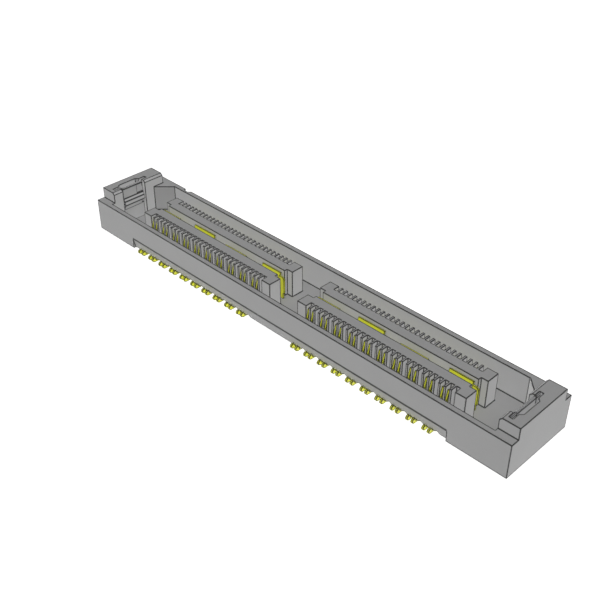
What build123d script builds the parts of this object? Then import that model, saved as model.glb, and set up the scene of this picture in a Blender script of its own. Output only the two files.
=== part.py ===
from build123d import *
import os

# Board-to-board socket strip, in millimetres.
# X runs along the strip, Y across it and Z up from the circuit board. The origin is the middle
# of the footprint, at the level of the solder feet.

# Contact positions along each bank
position_pitch = 0.50
positions_per_bank = 30
positions_per_group = 3
contacts_per_group = 2

# Banks, from -X to +X
bank_names = ("left", "right")
bank_spacing = 20.00

# Housing body
board_standoff = 0.20
housing_height = 3.05
floor_thickness = 0.53
side_wall_thickness = 0.49
end_wall_thickness = 1.71
mating_gap = 1.21
cavity_end_gap = 3.30
cavity_corner_chamfer = 1.42

# Raised blocks over the end walls
end_block_rise = 1.02
end_block_ledge = 0.78
end_block_chamfer = 0.21

# Comb ribs, two to a bank
rib_thickness = 1.54
rib_end_length = 1.14
centre_slot_width = 0.78
slot_mouth_length = 0.62
slot_mouth_relief = 0.30
groove_width = 0.30
groove_depth = 0.60

# Lower edge of the long walls
end_foot_length = 5.20
side_relief_height = 1.00
side_relief_depth = 0.25
tail_notch_height = 0.20
tail_notch_length = 1.20

# Orientation notch in the back wall
orientation_notch_radius = 0.43
orientation_notch_depth = 0.27
orientation_notch_inset = 4.60

# Latch window, slot and relief pocket in each end block
latch_offset = -0.57
window_width = 2.53
window_depth = 0.455
latch_slot_length = 3.65
latch_slot_width = 0.31
pocket_width = 2.34
pocket_depth = 0.25
pocket_height = 2.80

# Stamped contacts
contact_thickness = 0.19
contact_width = 0.20
contact_top_drop = 0.35
contact_crest_drop = 1.15
contact_crest_proud = 0.03
contact_tip_setback = 0.20
contact_root_rise = 0.25
contact_back_clearance = 0.16
toe_radius = 0.23
toe_overhang = 0.20
toe_start_angle = -30
toe_crown_length = 0.12
toe_crown_drop = 0.035
toe_ramp = 0.20

# Ground strips
strip_thickness = 0.15
strip_end_inset = 0.23
strip_foot_inset = 0.12
strip_foot_height = 0.56
strip_post_drop = 0.36
strip_post_length = 0.61
strip_corner_radius = 0.32
strip_web_height = 1.60
outer_finger_length = 2.20
inner_finger_length = 2.73
finger_gap = 1.72
finger_top_drop = 0.17
finger_wall_clearance = 0.12
finger_bend_radius = 0.30
finger_relief = 0.12
tab_width = 0.80
tab_clearance = 0.02
tab_foot_length = 0.55
tab_bend_rise = 0.10

# Latch clips, each a plate folded over into a sprung leaf
clip_thickness = 0.11
clip_fold_gap = 0.03
clip_fold_drop = 0.095
clip_back_clearance = 0.19
clip_side_clearance = 0.05
clip_shoulder_drop = 0.03
clip_middle_drop = 0.67
clip_foot_rise = 0.15
clip_tab_width = 0.80
leaf_width = 2.30
leaf_offset = 0.10
leaf_relief = 0.06
leaf_bend_drop = 1.22
leaf_shoulder_drop = 1.51
leaf_shoulder_depth = 0.20
leaf_crest_drop = 1.89
leaf_crest_depth = 0.11
leaf_tip_drop = 2.40
leaf_tip_step = 0.30
leaf_notch_width = 0.72
leaf_notch_drop = 0.30
leaf_notch_height = 0.85

# Heights and reaches that follow from the sizes above
wall_top = board_standoff + housing_height
block_top = wall_top + end_block_rise
floor_top = board_standoff + floor_thickness
rib_inner = centre_slot_width / 2
rib_outer = rib_inner + rib_thickness
cavity_half_width = rib_outer + mating_gap
housing_half_width = cavity_half_width + side_wall_thickness
first_position = -position_pitch * (positions_per_bank - 1) / 2
rib_half_length = rib_end_length - first_position
bank_centres = [
    bank_spacing * (index - (len(bank_names) - 1) / 2) for index in range(len(bank_names))
]
cavity_half_length = bank_centres[-1] + rib_half_length + cavity_end_gap
housing_half_length = cavity_half_length + end_wall_thickness
window_back = cavity_half_length + window_depth
slot_back = window_back + latch_slot_width
contact_root = rib_outer - groove_depth + contact_back_clearance
strip_half_length = rib_half_length - strip_end_inset
strip_web_top = floor_top + strip_web_height
outer_finger_centre = strip_half_length - strip_post_length - outer_finger_length / 2
outer_finger_start = outer_finger_centre - outer_finger_length / 2
inner_finger_centre = outer_finger_start - finger_gap - inner_finger_length / 2


def position_offset(position):
    return first_position + position * position_pitch


def block_between(x_range, y_range, z_range):
    x_size = x_range[1] - x_range[0]
    y_size = y_range[1] - y_range[0]
    z_size = z_range[1] - z_range[0]
    corner = (Align.MIN, Align.MIN, Align.MIN)
    return Pos(x_range[0], y_range[0], z_range[0]) * Box(x_size, y_size, z_size, align=corner)


def prism(outline, bottom, top):
    return Pos(0, 0, bottom) * extrude(outline, amount=top - bottom)


def strip_section(lines, thickness):
    # Section of a bent strip: the lines follow its outer face and the metal lies on their left
    outer_face = Wire([edge for line in lines for edge in line.edges()])
    return Face(outer_face.offset_2d(thickness, kind=Kind.INTERSECTION, side=Side.LEFT))


def formed_strip(lines, thickness, width):
    # A bent strip with its section in the YZ plane, centred on X = 0
    return extrude(Plane.YZ * strip_section(lines, thickness), amount=width / 2, both=True)


# Housing

def end_blocks():
    blocks = Part()
    half_width = housing_half_width - end_block_ledge
    for end in (-1, 1):
        inner = cavity_half_length
        outer = housing_half_length
        outline = Polygon(
            (inner, wall_top - floor_thickness),
            (outer, wall_top - floor_thickness),
            (outer, block_top),
            (inner + end_block_chamfer, block_top),
            (inner, block_top - end_block_chamfer),
            align=None,
        )
        block = extrude(Plane.XZ * outline, amount=half_width, both=True)
        blocks += block if end > 0 else mirror(block, about=Plane.YZ)
    return blocks


def cavity_outline():
    # Chamfered at both back corners only, so that the mating half fits one way round
    x = cavity_half_length
    y = cavity_half_width
    cut = cavity_corner_chamfer
    return Polygon((-x, -y), (x, -y), (x, y - cut), (x - cut, y), (cut - x, y), (-x, y - cut), align=None)


def rib_outline():
    # Plan of one bank's pair of ribs: a block with the centre slot and its wider mouths
    mouth_width = centre_slot_width + 2 * slot_mouth_relief
    outline = Rectangle(2 * rib_half_length, 2 * rib_outer)
    outline -= Rectangle(2 * rib_half_length, centre_slot_width)
    for end in (-1, 1):
        mouth_centre = end * (rib_half_length - slot_mouth_length / 2)
        outline -= Pos(mouth_centre, 0) * Rectangle(slot_mouth_length, mouth_width)
    return outline


def groove_outline():
    # Plan of every contact groove of one bank
    grooves = Sketch()
    for position in range(positions_per_bank):
        for side in (-1, 1):
            centre = (position_offset(position), side * (rib_outer - groove_depth / 2))
            grooves += Pos(*centre) * Rectangle(groove_width, groove_depth)
    return grooves


def tail_notches():
    # Vee-shaped notches under the lower edge of the long walls, one to a contact position
    half_pitch = position_pitch / 2
    start = position_offset(0) - half_pitch
    teeth = [(start, board_standoff)]
    for position in range(positions_per_bank):
        teeth.append((position_offset(position), board_standoff + tail_notch_height))
        teeth.append((position_offset(position) + half_pitch, board_standoff))
    section = Plane.XZ * Polygon(*teeth, align=None)
    inner = housing_half_width - tail_notch_length
    notches = extrude(section, amount=-housing_half_width) - extrude(section, amount=-inner)
    return notches + mirror(notches, about=Plane.XZ)


def side_reliefs():
    # Tapers that open the lower edge of both long walls above the solder toes
    edge = housing_half_width
    section = Plane.YZ * Polygon(
        (edge, board_standoff + side_relief_height),
        (edge, board_standoff),
        (edge - side_relief_depth, board_standoff),
        align=None,
    )
    relief = extrude(section, amount=housing_half_length - end_foot_length, both=True)
    return relief + mirror(relief, about=Plane.XZ)


def latch_cutouts():
    # Window, through slot and relief pocket of the end block at +X
    window_half = window_width / 2
    slot_half = latch_slot_length / 2
    window = block_between(
        (cavity_half_length, window_back),
        (latch_offset - window_half, latch_offset + window_half),
        (board_standoff, block_top),
    )
    slot = block_between(
        (window_back, slot_back),
        (latch_offset - slot_half, latch_offset + slot_half),
        (board_standoff, block_top),
    )
    pocket_half = pocket_width / 2
    pocket_outline = Polygon(
        (slot_back, latch_offset - pocket_half),
        (slot_back + pocket_depth, latch_offset - pocket_half + pocket_depth),
        (slot_back + pocket_depth, latch_offset + pocket_half - pocket_depth),
        (slot_back, latch_offset + pocket_half),
        align=None,
    )
    pocket = prism(pocket_outline, block_top - pocket_height, block_top)
    return window + slot + pocket


def fingers():
    # Centre and length of each spring finger of a ground strip, and the side it leans to
    return [
        (-outer_finger_centre, outer_finger_length, -1),
        (-inner_finger_centre, inner_finger_length, 1),
        (inner_finger_centre, inner_finger_length, -1),
        (outer_finger_centre, outer_finger_length, 1),
    ]


def tab_slits():
    # Slits in the floor for the solder tabs of one bank's ground strip
    slits = Part()
    half_length = tab_width / 2 + tab_clearance
    half_width = strip_thickness / 2 + tab_clearance
    for centre, _, _ in fingers():
        slits += block_between(
            (centre - half_length, centre + half_length),
            (-half_width, half_width),
            (board_standoff, floor_top),
        )
    return slits


def contact_positions():
    # Each group of positions holds its contacts first and then an empty groove
    return [
        [position_offset(group * positions_per_group + step) for step in range(contacts_per_group)]
        for group in range(positions_per_bank // positions_per_group)
    ]


def root_slots():
    # Slots in the floor that hold the contact roots of one bank
    outline = Sketch()
    for group in contact_positions():
        for offset in group:
            for side in (-1, 1):
                centre = (offset, side * (contact_root + contact_thickness / 2))
                outline += Pos(*centre) * Rectangle(contact_width, contact_thickness)
    return prism(outline, board_standoff, floor_top)


def orientation_notch():
    centre_x = orientation_notch_inset - housing_half_length
    centre_y = housing_half_width + orientation_notch_radius - orientation_notch_depth
    outline = Pos(centre_x, centre_y) * Circle(orientation_notch_radius)
    return prism(outline, board_standoff, wall_top)


def housing():
    body = prism(
        Rectangle(2 * housing_half_length, 2 * housing_half_width), board_standoff, wall_top
    )
    body -= prism(cavity_outline(), floor_top, wall_top)
    body += end_blocks()
    ribs = prism(rib_outline() - groove_outline(), floor_top, wall_top)
    floor_cuts = root_slots() + tab_slits() + tail_notches()
    for centre in bank_centres:
        body += Pos(centre, 0, 0) * ribs
        body -= Pos(centre, 0, 0) * floor_cuts
    cutouts = latch_cutouts()
    body -= cutouts
    body -= mirror(cutouts, about=Plane.YZ)
    body -= side_reliefs()
    body -= orientation_notch()
    return body


# Contacts

def contact():
    # One contact of the back row, centred on X = 0: a beam at the mouth of its groove, a root
    # through the floor, a tail along the board and a rounded toe outside the wall
    crest = rib_outer + contact_crest_proud - contact_thickness
    toe_centre = housing_half_width + toe_overhang - toe_radius
    blade = Polyline(
        (crest - contact_tip_setback, wall_top - contact_top_drop),
        (crest, wall_top - contact_crest_drop),
        (contact_root, floor_top + contact_root_rise),
        (contact_root, 0),
        (toe_centre, 0),
    )
    toe = CenterArc((toe_centre, toe_radius), toe_radius, toe_start_angle, 90 - toe_start_angle)
    ramp = Polyline(
        toe @ 1,
        (toe_centre - toe_crown_length, 2 * toe_radius - toe_crown_drop),
        (toe_centre - toe_ramp, contact_thickness),
        (toe_centre, 0),
        toe @ 0,
    )
    section = strip_section([blade], contact_thickness) + make_face([toe, ramp])
    return extrude(Plane.YZ * section, amount=contact_width / 2, both=True)


def contact_pairs():
    back = contact()
    front = mirror(back, about=Plane.XZ)
    pairs = {}
    for bank_name, bank_centre in zip(bank_names, bank_centres):
        for side_name, form in (("front", front), ("back", back)):
            for number, group in enumerate(contact_positions(), start=1):
                name = f"contact_pair_{bank_name}_{side_name}_{number:02d}"
                pairs[name] = Compound(
                    children=[Pos(bank_centre + offset, 0, 0) * form.solid() for offset in group]
                )
    return pairs


# Ground strips

def strip_plate():
    # Flat web that stands in the centre slot, with a taller post at each end
    foot_half_length = strip_half_length - strip_foot_inset
    plate = Pos(0, floor_top) * Rectangle(
        2 * foot_half_length, strip_web_height, align=(Align.CENTER, Align.MIN)
    )
    post_bottom = floor_top + strip_foot_height
    post_height = wall_top - strip_post_drop - post_bottom
    for end in (-1, 1):
        post_centre = end * (strip_half_length - strip_post_length / 2)
        post = Pos(post_centre, post_bottom) * Rectangle(
            strip_post_length, post_height, align=(Align.CENTER, Align.MIN)
        )
        top_corners = post.vertices().sort_by(Axis.Y)[-2:].sort_by(Axis.X)
        outer_corner = top_corners[-1] if end > 0 else top_corners[0]
        plate += fillet(outer_corner, radius=strip_corner_radius)
    return extrude(Plane.XZ * plate, amount=strip_thickness / 2, both=True)


def finger(length):
    # Spring finger that leans from the web towards the back rib, centred on X = 0
    front_face = -strip_thickness / 2
    reach = rib_inner - finger_wall_clearance - strip_thickness
    path = FilletPolyline(
        (reach, wall_top - finger_top_drop),
        (front_face, strip_web_top + finger_relief),
        (front_face, strip_web_top - finger_relief),
        radius=finger_bend_radius,
    )
    return formed_strip([path], strip_thickness, length)


def solder_tab():
    # Tab through the floor with a foot on the board, centred on X = 0
    front_face = -strip_thickness / 2
    path = Polyline(
        (front_face, floor_top),
        (front_face, tab_bend_rise),
        (front_face + tab_bend_rise, 0),
        (tab_foot_length, 0),
    )
    return formed_strip([path], strip_thickness, tab_width)


def ground_strip():
    strip = strip_plate()
    tab = solder_tab()
    for centre, length, side in fingers():
        formed = finger(length) + tab
        if side < 0:
            formed = mirror(formed, about=Plane.XZ)
        strip += Pos(centre, 0, 0) * formed
    return strip


# Latch clips

def clip_plate(back_face):
    # Plate of the clip in its slot: low under the leaf, with a tall shoulder on each side of it
    # and a solder tab at each end
    half_length = latch_slot_length / 2 - clip_side_clearance
    bottom = board_standoff + clip_foot_rise
    outline = Pos(latch_offset, bottom) * Rectangle(
        2 * half_length, block_top - clip_shoulder_drop - bottom, align=(Align.CENTER, Align.MIN)
    )
    outline -= Pos(latch_offset + leaf_offset, block_top - clip_middle_drop) * Rectangle(
        leaf_width + 2 * leaf_relief, clip_middle_drop, align=(Align.CENTER, Align.MIN)
    )
    for end in (-1, 1):
        tab_centre = latch_offset + end * (half_length - clip_tab_width / 2)
        outline += Pos(tab_centre, 0) * Rectangle(
            clip_tab_width, bottom, align=(Align.CENTER, Align.MIN)
        )
    return extrude(Plane.YZ.offset(back_face) * outline, amount=-clip_thickness)


def clip_leaf(back_face, front_face):
    # Leaf folded over the middle of the plate, hanging in the window with a crest towards the
    # cavity, a notch in one edge and a narrower tip
    fold_radius = (back_face - front_face) / 2
    fold_start = (back_face, block_top - clip_fold_drop - fold_radius)
    rise = Line((back_face, block_top - clip_middle_drop), fold_start)
    fold = JernArc(start=fold_start, tangent=(0, 1), radius=fold_radius, arc_size=180)
    drop = Polyline(
        (front_face, fold_start[1]),
        (front_face, block_top - leaf_bend_drop),
        (cavity_half_length + leaf_shoulder_depth, block_top - leaf_shoulder_drop),
        (cavity_half_length + leaf_crest_depth, block_top - leaf_crest_drop),
        (front_face, block_top - leaf_tip_drop),
    )
    fold_section = strip_section([rise, fold], clip_thickness)
    section = Plane.XZ * (Sketch() + fold_section + strip_section([drop], clip_thickness))
    leaf = extrude(section, amount=leaf_width / 2, both=True)
    right_edge = leaf_width / 2
    notch_top = block_top - leaf_notch_drop
    leaf -= block_between(
        (front_face, back_face - clip_thickness),
        (right_edge - leaf_notch_width, right_edge),
        (notch_top - leaf_notch_height, notch_top),
    )
    leaf -= block_between(
        (cavity_half_length, back_face - clip_thickness),
        (right_edge - leaf_tip_step, right_edge),
        (block_top - leaf_tip_drop - clip_thickness, block_top - leaf_crest_drop),
    )
    return Pos(0, latch_offset + leaf_offset, 0) * leaf


def latch_clip():
    # Clip of the end block at +X
    back_face = slot_back - clip_back_clearance
    front_face = back_face - 2 * clip_thickness - clip_fold_gap
    return clip_plate(back_face) + clip_leaf(back_face, front_face)


def build_nodes():
    nodes = {"housing": housing()}
    for bank_name, bank_centre in zip(bank_names, bank_centres):
        nodes[f"ground_strip_{bank_name}"] = Pos(bank_centre, 0, 0) * ground_strip()
    right_clip = latch_clip()
    nodes["latch_clip_right"] = right_clip
    nodes["latch_clip_left"] = mirror(right_clip, about=Plane.YZ)
    nodes.update(contact_pairs())
    return nodes


os.makedirs("parts", exist_ok=True)
for node_name, shape in build_nodes().items():
    export_step(shape, f"parts/{node_name}.step")
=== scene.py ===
"""Looks of a grey board-to-board socket strip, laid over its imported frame.

Everything is in metres and in the frame's own coordinates: X runs along the strip, Y across it
and Z up from the circuit board that the solder feet stand on.
"""

import logging
import math
from collections.abc import Iterable
from dataclasses import dataclass
from enum import Enum

import bpy
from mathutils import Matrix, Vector

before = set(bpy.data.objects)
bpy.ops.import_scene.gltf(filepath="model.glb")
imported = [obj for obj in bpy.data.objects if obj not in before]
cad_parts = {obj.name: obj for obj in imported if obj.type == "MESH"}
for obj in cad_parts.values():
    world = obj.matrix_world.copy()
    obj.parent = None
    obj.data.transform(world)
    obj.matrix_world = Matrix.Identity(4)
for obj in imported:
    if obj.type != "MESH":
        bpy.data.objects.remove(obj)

Colour = tuple[float, float, float, float]
Point = tuple[float, float, float]

MILLIMETRE = 0.001

# How far from an edge the surface counts as rounded, in widths of the edge's line.
EDGE_REACH = 1.9
EDGE_SAMPLES = 12
# Rays that the painted shade in narrow gaps is worked out from.
GAP_SHADE_SAMPLES = 8

# Where a Mix node has its share and its two colours, and where it has their mix.
MIX_INPUTS = (0, 6, 7)
MIX_OUTPUT = 2

# Most of a surface lies between these values of the noise, which count as its ends.
NOISE_ENDS = (0.3, 0.7)
DRIFT_DETAIL = 2.0
GRAIN_DETAIL = 3.0

# The share of a level line's width in which it is fully dark.
LINE_CORE = 0.4

log = logging.getLogger("socket_strip")


def grey(value: float, blue: float = 0.0) -> Colour:
    """A grey of that linear value, cooled by a small amount of blue."""
    return (value, value, value + blue, 1.0)


class Graph:
    """A node tree with short ways to add, set and join its nodes."""

    def __init__(self, tree: bpy.types.NodeTree) -> None:
        """Empty that tree of a material or of the world, ready for new nodes."""
        self.tree = tree
        self.tree.nodes.clear()

    def add(
        self, kind: str, inputs: dict[str, object] | None = None, **settings: object
    ) -> bpy.types.Node:
        """Add one node.

        Args:
            kind: The node's type name.
            inputs: Constant values or sockets to join, by the input's name.
            settings: Values for the node's own properties.

        Returns:
            The new node.
        """
        node = self.tree.nodes.new(kind)
        for name, value in settings.items():
            setattr(node, name, value)
        for name, value in (inputs or {}).items():
            self.feed(node.inputs[name], value)
        return node

    def feed(self, socket: bpy.types.NodeSocket, value: object) -> None:
        """Join a socket to the input, or set the input to a constant.

        Args:
            socket: The input that is fed.
            value: An output socket, or a constant.
        """
        if isinstance(value, bpy.types.NodeSocket):
            self.tree.links.new(value, socket)
        else:
            socket.default_value = value

    def maths(self, operation: str, first: object, second: object = 0.0) -> bpy.types.NodeSocket:
        """Work out one sum on two values.

        Args:
            operation: The name of the sum.
            first: An output socket, or a number.
            second: An output socket, or a number.

        Returns:
            The result's socket.
        """
        node = self.tree.nodes.new("ShaderNodeMath")
        node.operation = operation
        self.feed(node.inputs[0], first)
        self.feed(node.inputs[1], second)
        return node.outputs["Value"]

    def blend(self, share: object, first: object, second: object) -> bpy.types.NodeSocket:
        """Mix two colours.

        Args:
            share: How much of the second colour shows, from 0 to 1.
            first: The first colour or its socket.
            second: The second colour or its socket.

        Returns:
            The mixed colour's socket.
        """
        node = self.tree.nodes.new("ShaderNodeMix")
        node.data_type = "RGBA"
        for index, value in zip(MIX_INPUTS, (share, first, second)):
            self.feed(node.inputs[index], value)
        return node.outputs[MIX_OUTPUT]

    def ramp(
        self,
        value: bpy.types.NodeSocket,
        source: tuple[float, float],
        target: tuple[float, float] = (0.0, 1.0),
    ) -> bpy.types.NodeSocket:
        """Map a value from one range to another, and hold it there.

        Args:
            value: The value's socket.
            source: The range that it comes from.
            target: The range that it is mapped to.

        Returns:
            The mapped value's socket.
        """
        node = self.add(
            "ShaderNodeMapRange",
            {
                "Value": value,
                "From Min": source[0],
                "From Max": source[1],
                "To Min": target[0],
                "To Max": target[1],
            },
            clamp=True,
        )
        return node.outputs["Result"]

    def coordinate(self, axis: str) -> bpy.types.NodeSocket:
        """Where the surface lies on that axis of the frame."""
        place = self.add("ShaderNodeTexCoord").outputs["Object"]
        return self.add("ShaderNodeSeparateXYZ", {"Vector": place}).outputs[axis]


@dataclass(frozen=True)
class Finish:
    """What every finish of the strip has: two tones, a grain, a dark edge line and painted gap
    shade.

    Attributes:
        name: The material's name.
        tone: The main colour.
        second_tone: The colour that the main one drifts to.
        line_and_shade_tone: The colour of the fine line along each edge and of the painted shade in
            gaps.
        edge_width: How far the line reaches from its edge.
        edge_facing: How much of its own way a rounded edge still faces, where the line starts
            and where it is full.
        drift_size: The size of one patch of colour.
        grain_size: The size of the grain along X, Y and Z.
        grain_depth: How deep the grain is.
        roughness: The smoothest and the roughest value of the grain.
        metallic: How far it mirrors as bare metal does, from 0 to 1.
        gloss: The strength of the reflections that are not metallic.
        gap_shade_reach: How far away a facing surface may be and still make a gap that gets painted
            shade.
        gap_shade_openness: How open a gap is where its painted shade starts and where it is
            darkest.
        gap_shade_depth: How dark the painted shade in the most closed gap is, from 0 to 1.
    """

    name: str
    tone: Colour
    second_tone: Colour
    line_and_shade_tone: Colour
    edge_width: float
    edge_facing: tuple[float, float]
    drift_size: float
    grain_size: Point
    grain_depth: float
    roughness: tuple[float, float]
    metallic: float = 0.0
    gloss: float = 0.5
    # Narrow gaps get painted shade in the line's dark tone, unless its depth is 0.
    gap_shade_reach: float = 0.12 * MILLIMETRE
    gap_shade_openness: tuple[float, float] = (0.8, 0.3)
    gap_shade_depth: float = 0.4

    def place(self, graph: Graph, size: Point) -> bpy.types.NodeSocket:
        """Coordinates in which one unit is a patch of that size.

        Args:
            graph: The material's graph.
            size: The patch's size along X, Y and Z.

        Returns:
            The socket of the scaled coordinates.
        """
        coordinates = graph.add("ShaderNodeTexCoord").outputs["Object"]
        scale = tuple(1 / length for length in size)
        mapping = graph.add("ShaderNodeMapping", {"Vector": coordinates, "Scale": scale})
        return mapping.outputs["Vector"]

    def noise(self, graph: Graph, size: Point, detail: float) -> bpy.types.NodeSocket:
        """Soft noise with patches of that size.

        Args:
            graph: The material's graph.
            size: The patch's size along X, Y and Z.
            detail: How many finer layers the noise has.

        Returns:
            The noise's value, from 0 to 1.
        """
        node = graph.add(
            "ShaderNodeTexNoise",
            {"Vector": self.place(graph, size), "Scale": 1.0, "Detail": detail},
        )
        return node.outputs["Fac"]

    def edge_share(self, graph: Graph) -> bpy.types.NodeSocket:
        """How near a point is to an edge: 1 on the edge and 0 beyond the line's width.

        Args:
            graph: The material's graph.

        Returns:
            The share's socket.
        """
        radius = EDGE_REACH * self.edge_width
        rounded = graph.add("ShaderNodeBevel", {"Radius": radius}, samples=EDGE_SAMPLES)
        flat = graph.add("ShaderNodeNewGeometry").outputs["True Normal"]
        facing = graph.add("ShaderNodeVectorMath", operation="DOT_PRODUCT")
        graph.feed(facing.inputs[0], rounded.outputs["Normal"])
        graph.feed(facing.inputs[1], flat)
        return graph.ramp(facing.outputs["Value"], self.edge_facing)

    def gap_shade_share(self, graph: Graph) -> bpy.types.NodeSocket:
        """Painted shade in narrow gaps: how closed in a point is by what stands near it.

        Args:
            graph: The material's graph.

        Returns:
            The share of painted shade, up to its darkest.
        """
        openness = graph.add(
            "ShaderNodeAmbientOcclusion", {"Distance": self.gap_shade_reach}, samples=GAP_SHADE_SAMPLES
        )
        return graph.ramp(openness.outputs["AO"], self.gap_shade_openness, (0.0, self.gap_shade_depth))

    def line_and_shade_share(self, graph: Graph) -> bpy.types.NodeSocket:
        """Where the surface takes its dark tone: along the edges, and as painted shade in narrow
        gaps.

        Args:
            graph: The material's graph.

        Returns:
            The share's socket, 1 where the edge tone is full.
        """
        share = self.edge_share(graph)
        # Painted shade where other surfaces close a point in, as shade would fall there.
        if self.gap_shade_depth:
            share = graph.maths("MAXIMUM", share, self.gap_shade_share(graph))
        return share

    def line_share(
        self, graph: Graph, axis: str, place: float, width: float
    ) -> bpy.types.NodeSocket:
        """A level line on the surface: 1 on it and 0 beyond its width.

        Args:
            graph: The material's graph.
            axis: The axis that the line crosses.
            place: Where on that axis the line lies.
            width: How far it reaches from there.

        Returns:
            The share's socket.
        """
        offset = graph.maths("SUBTRACT", graph.coordinate(axis), place)
        distance = graph.maths("ABSOLUTE", offset)
        return graph.ramp(distance, (width, LINE_CORE * width))

    def colour(self, graph: Graph) -> bpy.types.NodeSocket:
        """The drifting colour, with its darker lines and painted shade.

        Args:
            graph: The material's graph.

        Returns:
            The colour's socket.
        """
        patch = (self.drift_size,) * 3
        drift = graph.ramp(self.noise(graph, patch, DRIFT_DETAIL), NOISE_ENDS)
        surface = graph.blend(drift, self.tone, self.second_tone)
        return graph.blend(self.line_and_shade_share(graph), surface, self.line_and_shade_tone)

    def material(self) -> bpy.types.Material:
        """Make the material.

        Returns:
            The new material.
        """
        made = bpy.data.materials.new(self.name)
        made.use_nodes = True
        graph = Graph(made.node_tree)
        grain = self.noise(graph, self.grain_size, GRAIN_DETAIL)
        bump = graph.add(
            "ShaderNodeBump",
            {"Height": grain, "Distance": self.grain_depth, "Strength": 1.0},
        )
        shader = graph.add(
            "ShaderNodeBsdfPrincipled",
            {
                "Base Color": self.colour(graph),
                "Roughness": graph.ramp(grain, NOISE_ENDS, self.roughness),
                "Metallic": self.metallic,
                "Specular IOR Level": self.gloss,
                "Normal": bump.outputs["Normal"],
            },
        )
        graph.add("ShaderNodeOutputMaterial", {"Surface": shader.outputs["BSDF"]})
        return made


@dataclass(frozen=True)
class HousingResin(Finish):
    """Matt grey moulded resin.

    Attributes:
        relief_height: The height below which each side is relieved.
        relief_side: How far from the middle a point must be to lie on a side.
        relief_half_length: Half of the relief's length.
        relief_width: How far the dark line of the relief's start reaches.
    """

    name: str = "housing_resin"
    tone: Colour = grey(0.305)
    second_tone: Colour = grey(0.295)
    line_and_shade_tone: Colour = grey(0.025)
    edge_width: float = 0.064 * MILLIMETRE
    edge_facing: tuple[float, float] = (0.99995, 0.9985)
    drift_size: float = 2.4 * MILLIMETRE
    grain_size: Point = (0.09 * MILLIMETRE,) * 3
    grain_depth: float = 0.002 * MILLIMETRE
    roughness: tuple[float, float] = (0.55, 0.68)
    gloss: float = 0.2
    # Painted shade in the comb's grooves and other narrow gaps of the moulding.
    gap_shade_reach: float = 0.5 * MILLIMETRE
    gap_shade_openness: tuple[float, float] = (0.55, 0.12)
    gap_shade_depth: float = 0.2
    relief_height: float = 1.2 * MILLIMETRE
    relief_side: float = 3.59 * MILLIMETRE
    relief_half_length: float = 18.2 * MILLIMETRE
    relief_width: float = 0.15 * MILLIMETRE

    def line_and_shade_share(self, graph: Graph) -> bpy.types.NodeSocket:
        """Where the surface takes its dark tone: edges, painted shade in gaps and the start of the
        side relief.

        Args:
            graph: The material's graph.

        Returns:
            The share's socket, 1 where the edge tone is full.
        """
        line = self.line_share(graph, "Z", self.relief_height, self.relief_width)
        for axis, test, limit in (
            ("X", "LESS_THAN", self.relief_half_length),
            ("Y", "GREATER_THAN", self.relief_side),
        ):
            distance = graph.maths("ABSOLUTE", graph.coordinate(axis))
            line = graph.maths("MULTIPLY", line, graph.maths(test, distance, limit))
        return graph.maths("MAXIMUM", super().line_and_shade_share(graph), line)


@dataclass(frozen=True)
class ContactPlating(Finish):
    """Lemon-gold plating of the stamped contacts."""

    name: str = "contact_plating"
    tone: Colour = (0.79, 0.81, 0.055, 1.0)
    second_tone: Colour = (0.73, 0.75, 0.05, 1.0)
    line_and_shade_tone: Colour = (0.035, 0.035, 0.003, 1.0)
    edge_width: float = 0.06 * MILLIMETRE
    edge_facing: tuple[float, float] = (0.9999, 0.997)
    drift_size: float = 0.5 * MILLIMETRE
    grain_size: Point = (0.012 * MILLIMETRE, 0.25 * MILLIMETRE, 0.25 * MILLIMETRE)
    grain_depth: float = 0.0004 * MILLIMETRE
    roughness: tuple[float, float] = (0.34, 0.44)
    metallic: float = 0.45


@dataclass(frozen=True)
class StripPlating(ContactPlating):
    """The same plating on the ground strips, rolled lengthwise."""

    name: str = "strip_plating"
    edge_width: float = 0.045 * MILLIMETRE
    drift_size: float = 1.6 * MILLIMETRE
    grain_size: Point = (0.6 * MILLIMETRE, 0.012 * MILLIMETRE, 0.012 * MILLIMETRE)


@dataclass(frozen=True)
class ClipSteel(Finish):
    """Satin grey steel of the latch clips, brushed along its height.

    Attributes:
        bend_heights: The heights at which the sheet bends.
        bend_width: How far the dark line of a bend reaches from it.
    """

    name: str = "clip_steel"
    tone: Colour = grey(0.52, 0.004)
    second_tone: Colour = grey(0.50, 0.004)
    line_and_shade_tone: Colour = grey(0.035)
    edge_width: float = 0.044 * MILLIMETRE
    edge_facing: tuple[float, float] = (0.9999, 0.997)
    drift_size: float = 0.8 * MILLIMETRE
    grain_size: Point = (0.012 * MILLIMETRE, 0.012 * MILLIMETRE, 0.5 * MILLIMETRE)
    grain_depth: float = 0.0005 * MILLIMETRE
    roughness: tuple[float, float] = (0.48, 0.58)
    metallic: float = 0.2
    gap_shade_depth: float = 0.0
    bend_heights: tuple[float, ...] = tuple(
        height * MILLIMETRE for height in (4.05, 3.05, 2.76, 2.38, 1.87)
    )
    bend_width: float = 0.1 * MILLIMETRE

    def line_and_shade_share(self, graph: Graph) -> bpy.types.NodeSocket:
        """Where the surface takes its edge tone: along the edges and the bends.

        Args:
            graph: The material's graph.

        Returns:
            The share's socket, 1 where the edge tone is full.
        """
        share = super().line_and_shade_share(graph)
        for bend in self.bend_heights:
            line = self.line_share(graph, "Z", bend, self.bend_width)
            share = graph.maths("MAXIMUM", share, line)
        return share


class Bank(Enum):
    """The two banks of contacts, from -X to +X."""

    LEFT = "left"
    RIGHT = "right"


class Row(Enum):
    """The two contact rows of a bank."""

    FRONT = "front"
    BACK = "back"


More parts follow.
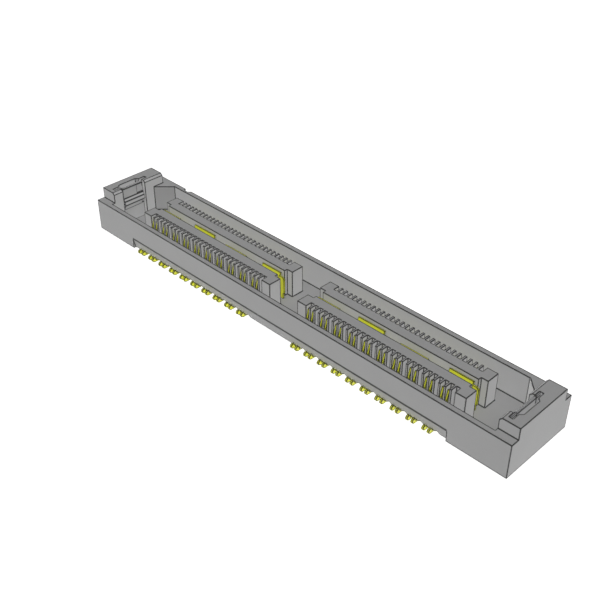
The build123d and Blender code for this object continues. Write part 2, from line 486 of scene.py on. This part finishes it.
@dataclass
class SubAssembly:
    """A group of pieces that share one finish."""

    finish: Finish

    def node_names(self) -> Iterable[str]:
        """The frame's nodes that belong to the group."""
        raise NotImplementedError

    def dress(self, nodes: dict[str, bpy.types.Object]) -> None:
        """Give every node of the group its finish.

        Args:
            nodes: The frame's nodes by name.
        """
        material = self.finish.material()
        for name in self.node_names():
            node = nodes[name]
            node.data.materials.clear()
            node.data.materials.append(material)
            log.info("%s: %s", name, self.finish.name)


@dataclass
class Housing(SubAssembly):
    """The moulded body with its comb ribs, walls and end blocks."""

    def node_names(self) -> Iterable[str]:
        """The one moulded node."""
        return ["housing"]


@dataclass
class GroundStrips(SubAssembly):
    """The sprung ground strip in the centre slot of each bank."""

    def node_names(self) -> Iterable[str]:
        """One node to a bank."""
        return [f"ground_strip_{bank.value}" for bank in Bank]


@dataclass
class LatchClips(SubAssembly):
    """The folded latch clip in each end block."""

    def node_names(self) -> Iterable[str]:
        """One node to an end."""
        return [f"latch_clip_{bank.value}" for bank in Bank]


@dataclass
class ContactPairs(SubAssembly):
    """The stamped contacts, in pairs along both sides of each bank.

    Attributes:
        pairs_per_row: How many pairs stand along one side of a bank.
    """

    pairs_per_row: int = 10

    def node_names(self) -> Iterable[str]:
        """One node to a pair."""
        for bank in Bank:
            for row in Row:
                for number in range(1, self.pairs_per_row + 1):
                    yield f"contact_pair_{bank.value}_{row.value}_{number:02d}"


@dataclass
class SoftLamp:
    """A broad soft lamp far away.

    Attributes:
        name: The lamp's name.
        direction: Where it stands, seen from the strip.
        level: How much of a facing surface's colour it adds.
        breadth: How wide it looks from the strip, in degrees.
        shadow: Whether it casts shadows, or only fills.
        lit: The only pieces that it lights, or none for all of them.
    """

    name: str
    direction: Point
    level: float
    breadth: float = 80.0
    shadow: bool = True
    lit: bpy.types.Collection | None = None

    def build(self) -> None:
        """Make the lamp and point it at the strip."""
        lamp = bpy.data.lights.new(self.name, "SUN")
        # A sun of strength pi shows a white surface that faces it as white.
        lamp.energy = self.level * math.pi
        lamp.angle = math.radians(self.breadth)
        lamp.use_shadow = self.shadow
        # If rays off the surface could find it too, a lamp without shadow would be partly shadowed.
        lamp.cycles.use_multiple_importance_sampling = self.shadow
        placed = bpy.data.objects.new(self.name, lamp)
        towards = Vector(self.direction).normalized()
        placed.location = towards
        placed.rotation_euler = towards.to_track_quat("Z", "Y").to_euler()
        bpy.context.scene.collection.objects.link(placed)
        if self.lit:
            placed.light_linking.receiver_collection = self.lit
        log.info("lamp %s", self.name)


def gather_pieces(
    nodes: dict[str, bpy.types.Object], kind: str, starts: tuple[str, ...]
) -> bpy.types.Collection:
    """Gather the pieces that a lamp may light alone.

    Args:
        nodes: The frame's nodes by name.
        kind: What the pieces are called together.
        starts: How their nodes' names start.

    Returns:
        The pieces' collection.
    """
    made = bpy.data.collections.new(kind)
    for name, node in nodes.items():
        if name.startswith(starts):
            made.objects.link(node)
    return made


@dataclass
class Studio:
    """A plain pale floor, a soft lamp with even fills and a white surround.

    Attributes:
        floor_radius: How far the floor reaches.
        floor_corners: How many corners its rim has.
        floor_tone: The floor's colour under the lamps.
        floor_lift: What the floor adds to reach the white of the background.
        surround_level: How strongly the surround lights the strip.
    """

    floor_radius: float = 0.6
    floor_corners: int = 96
    floor_tone: float = 0.80
    floor_lift: float = 0.92
    surround_level: float = 0.06

    def seen(self, graph: Graph) -> bpy.types.NodeSocket:
        """1 for what is seen straight, in gloss or through glass, and 0 for scattered light.

        Args:
            graph: The graph that asks.

        Returns:
            The value's socket.
        """
        rays = graph.add("ShaderNodeLightPath").outputs
        straight = graph.maths("MAXIMUM", rays["Is Camera Ray"], rays["Is Glossy Ray"])
        return graph.maths("MAXIMUM", straight, rays["Is Transmission Ray"])

    def floor_material(self) -> bpy.types.Material:
        """The pale floor, which shows white and keeps the strip's shadow.

        Returns:
            The new material.
        """
        made = bpy.data.materials.new("pale_floor")
        made.use_nodes = True
        graph = Graph(made.node_tree)
        lit = graph.add("ShaderNodeBsdfDiffuse", {"Color": grey(self.floor_tone)})
        lift = graph.add(
            "ShaderNodeEmission",
            {"Strength": graph.maths("MULTIPLY", self.seen(graph), self.floor_lift)},
        )
        both = graph.add("ShaderNodeAddShader")
        graph.feed(both.inputs[0], lit.outputs["BSDF"])
        graph.feed(both.inputs[1], lift.outputs["Emission"])
        below = graph.add("ShaderNodeNewGeometry").outputs["Backfacing"]
        clear = graph.add("ShaderNodeBsdfTransparent")
        shown = graph.add("ShaderNodeMixShader", {"Fac": below})
        graph.feed(shown.inputs[1], both.outputs["Shader"])
        graph.feed(shown.inputs[2], clear.outputs["BSDF"])
        graph.add("ShaderNodeOutputMaterial", {"Surface": shown.outputs["Shader"]})
        return made

    def build_floor(self) -> None:
        """Lay the round floor at the level of the solder feet."""
        step = 2 * math.pi / self.floor_corners
        rim = [
            (
                self.floor_radius * math.cos(corner * step),
                self.floor_radius * math.sin(corner * step),
                0.0,
            )
            for corner in range(self.floor_corners)
        ]
        mesh = bpy.data.meshes.new("floor")
        mesh.from_pydata(rim, [], [range(self.floor_corners)])
        mesh.materials.append(self.floor_material())
        floor = bpy.data.objects.new("floor", mesh)
        bpy.context.scene.collection.objects.link(floor)
        log.info("floor")

    def build_surround(self) -> None:
        """Light the world evenly, and show it white."""
        world = bpy.data.worlds.new("surround")
        world.use_nodes = True
        graph = Graph(world.node_tree)
        shown = graph.ramp(self.seen(graph), (0.0, 1.0), (self.surround_level, 1.0))
        sky = graph.add("ShaderNodeBackground", {"Color": grey(1.0), "Strength": shown})
        graph.add("ShaderNodeOutputWorld", {"Surface": sky.outputs["Background"]})
        bpy.context.scene.world = world
        log.info("surround")

    def build_lamps(self, nodes: dict[str, bpy.types.Object]) -> None:
        """Make the lamps.

        A piece stands in one of the collections only. If it stood in two, a lamp that lights one
        of them would miss the piece in some runs.

        Args:
            nodes: The frame's nodes by name.
        """
        resin = gather_pieces(nodes, "resin_pieces", ("housing",))
        strips = gather_pieces(nodes, "strip_pieces", ("ground_strip",))
        springs = gather_pieces(nodes, "spring_pieces", ("contact_pair", "latch_clip"))
        photo_side = (0.59, -0.71, 0.37)
        rear_side = (-0.60, 0.48, -0.50)
        for name, direction, level, lit in (
            ("end_fill", (0.78, 0.56, 0.27), 0.96, resin),
            ("front_fill", (-0.62, -0.92, 0.05), 0.80, resin),
            ("rear_fill", rear_side, 0.44, resin),
            ("strip_fill", photo_side, 0.46, strips),
            ("spring_fill", photo_side, 0.46, springs),
            ("rear_spring_fill", rear_side, 0.44, springs),
        ):
            SoftLamp(name, direction, level, shadow=False, lit=lit).build()
        SoftLamp("key_lamp", direction=(0.35, -0.30, 0.88), level=0.28).build()

    def build(self, nodes: dict[str, bpy.types.Object]) -> None:
        """Make the floor, the surround and the lamps.

        Args:
            nodes: The frame's nodes by name.
        """
        self.build_floor()
        self.build_surround()
        self.build_lamps(nodes)


@dataclass
class PhotoCamera:
    """The camera at the photograph's viewing angle.

    Attributes:
        place: Where it stands, in millimetres.
        tilt: Its turn about X, in degrees.
        heading: Its turn about Z, in degrees.
        lens: Its focal length in millimetres, on a sensor of the usual width.
        nearest: How near a thing may be and still be seen, in metres.
        farthest: How far it sees, in metres.
    """

    place: Point = (45.7355, -45.7464, 47.2874)
    tilt: float = 54.7356
    heading: float = 45.0
    lens: float = 57.01
    nearest: float = MILLIMETRE
    farthest: float = 10.0

    def build(self) -> None:
        """Make the camera and make it the scene's own."""
        camera = bpy.data.cameras.new("photo_camera")
        camera.lens = self.lens
        camera.clip_start = self.nearest
        camera.clip_end = self.farthest
        placed = bpy.data.objects.new("photo_camera", camera)
        placed.location = Vector(self.place) * MILLIMETRE
        placed.rotation_euler = (math.radians(self.tilt), 0.0, math.radians(self.heading))
        bpy.context.scene.collection.objects.link(placed)
        bpy.context.scene.camera = placed
        log.info("camera")


def main() -> None:
    """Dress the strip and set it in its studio."""
    logging.basicConfig(level=logging.INFO, format="%(name)s: %(message)s")
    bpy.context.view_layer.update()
    bpy.context.scene.view_settings.view_transform = "Standard"
    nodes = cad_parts
    for part in (
        Housing(HousingResin()),
        GroundStrips(StripPlating()),
        LatchClips(ClipSteel()),
        ContactPairs(ContactPlating()),
    ):
        part.dress(nodes)
    Studio().build(nodes)
    PhotoCamera().build()


if __name__ == "__main__":
    main()
